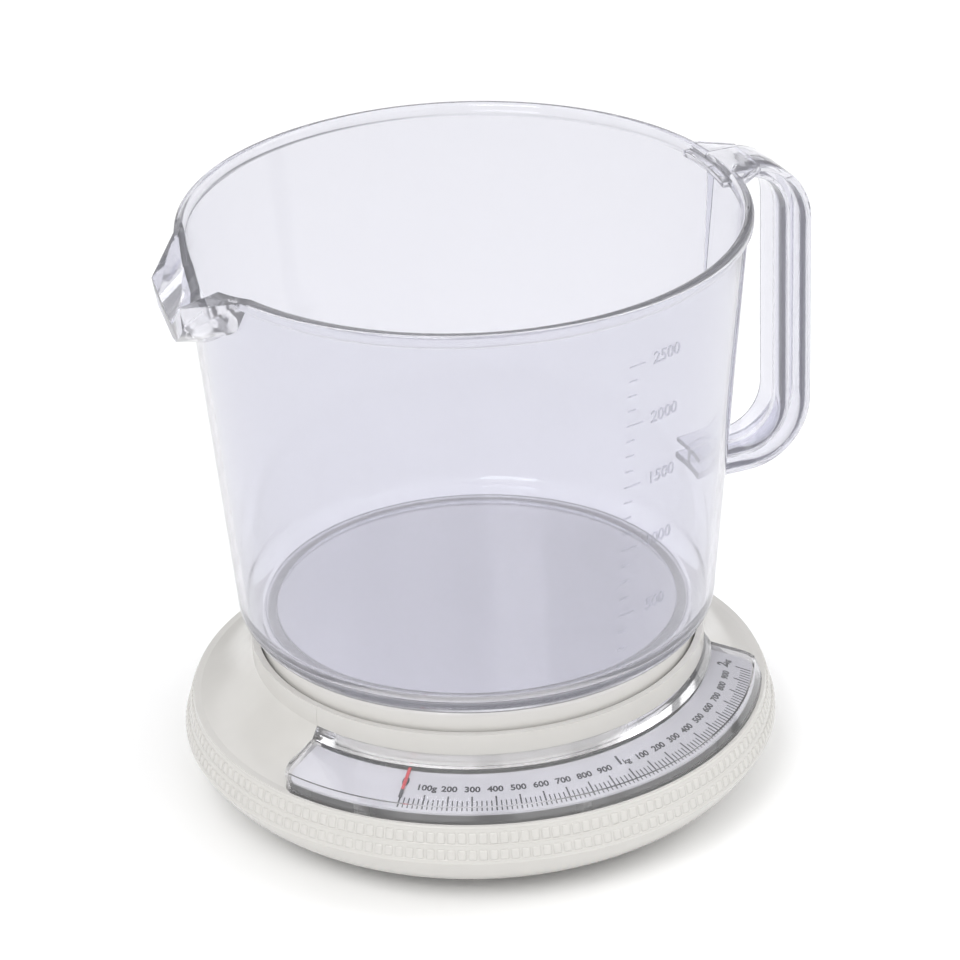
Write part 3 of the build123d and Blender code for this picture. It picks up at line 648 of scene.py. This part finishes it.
def addOnJug(target, bm, z, along):
    # x runs round the wall, y up it and z out of it; all in mm before, metres after
    for v in bm.verts:
        radius = jugRadiusAt(z + v.co.y)
        turn = math.radians(marks["angle"]) + (v.co.x + along) / radius
        out = radius + v.co.z
        v.co = Vector((out * math.cos(turn), out * math.sin(turn), z + v.co.y)) * mm
    addTo(target, bm)


def jugMarks():
    bm = bmesh.new()
    middle = (marks["stand"] - marks["sunk"]) / 2
    deep = marks["stand"] + marks["sunk"]
    for number, z in enumerate(fillHeights(), 1):
        whole = number % 4 == 0
        length = marks["long" if whole else "short"]
        bar = bmesh.new()
        bmesh.ops.create_cube(bar, size=1.0)
        bmesh.ops.scale(bar, verts=bar.verts[:], vec=(length, marks["thick"], deep))
        bmesh.ops.translate(bar, verts=bar.verts[:], vec=(length / 2, 0, middle))
        addOnJug(bm, bar, z, 0)
        if whole:
            text = textSolid(str(number * marks["millilitres"]), marks["numberHeight"], marks["stroke"], deep)
            bmesh.ops.translate(text, verts=text.verts[:], vec=(0, 0, middle))
            addOnJug(bm, text, z, marks["long"] + marks["numberGap"] * 2)
    piece = toObject(bm, "jugMarks")
    return finishPiece(piece, clearSan, "jug")


jugMarks()

print("pointer")
pointer = {
    "start": 6.05, "knee": 75.0, "tip": 88.7, "height": 41.705, "thickness": 0.4, "halfWidth": 0.55, "darkTip": 3.2,
}


def pointerStrip(name, start, end, material, replaced=None):
    # one strip of the needle between two radii, bent down where it reaches the dial
    fall = math.tan(math.radians(dial["slope"]))
    radii = [start] + [r for r in (pointer["knee"],) if start < r < end] + [end]
    lower = [(r, pointer["height"] - max(0.0, r - pointer["knee"]) * fall) for r in radii]
    upper = [(r, z + pointer["thickness"]) for r, z in reversed(lower)]
    bm = softened(slab(lower + upper, -pointer["halfWidth"], pointer["halfWidth"], "Y"), 0.08, 1, 60)
    bmesh.ops.rotate(bm, verts=bm.verts[:], matrix=Matrix.Rotation(math.radians(dial["zeroAngle"]), 3, "Z"))
    return finishPiece(toObject(bm, name), material, "pointer", replaced)


pointerStrip("redNeedle", pointer["start"], pointer["tip"] - pointer["darkTip"], redLacquer,
             ["pointer_needle"])
# the needle's last darkTip mm are drawn dark, in the black of the dial print
pointerStrip("needleTip", pointer["tip"] - pointer["darkTip"], pointer["tip"], dialInk)

print("rim beads")
beads = {
    "rows": ((29.1, 1.95), (23.8, 1.8)), "count": 182, "halfWidth": 1.42, "halfDeep": 1.0, "sunk": 0.62,
    "round": 0.62, "crest": (96.5, 33.0), "widest": (100.0, 21.0),
}


def rimBeads():
    # two rows of small rounded blocks half sunk into the band
    (topRadius, topHeight), (lowRadius, lowHeight) = beads["crest"], beads["widest"]
    lean = math.atan2(lowRadius - topRadius, topHeight - lowHeight)
    bm = bmesh.new()
    for height, halfTall in beads["rows"]:
        block = bmesh.new()
        bmesh.ops.create_cube(block, size=2.0)
        bmesh.ops.scale(block, verts=block.verts[:], vec=(beads["halfDeep"], beads["halfWidth"], halfTall))
        bmesh.ops.bevel(block, geom=block.edges[:], offset=beads["round"], offset_type="OFFSET", segments=2,
                        profile=0.5, affect="EDGES", clamp_overlap=True, material=-1)
        radius = topRadius + (lowRadius - topRadius) * (topHeight - height) / (topHeight - lowHeight)
        place = Matrix.Translation((radius - beads["sunk"], 0, height)) @ Matrix.Rotation(-lean, 4, "Y")
        mesh = bpy.data.meshes.new("bead")
        block.to_mesh(mesh)
        block.free()
        for number in range(beads["count"]):
            first = len(bm.verts)
            bm.from_mesh(mesh)
            bm.verts.ensure_lookup_table()
            turn = Matrix.Rotation(math.tau * number / beads["count"], 4, "Z")
            bmesh.ops.transform(bm, matrix=Matrix.Scale(mm, 4) @ turn @ place, verts=bm.verts[first:])
        bpy.data.meshes.remove(mesh)
    for face in bm.faces:
        face.smooth = True
    piece = toObject(bm, "rimBeads")
    return finishPiece(piece, creamAbs, "root")


rimBeads()
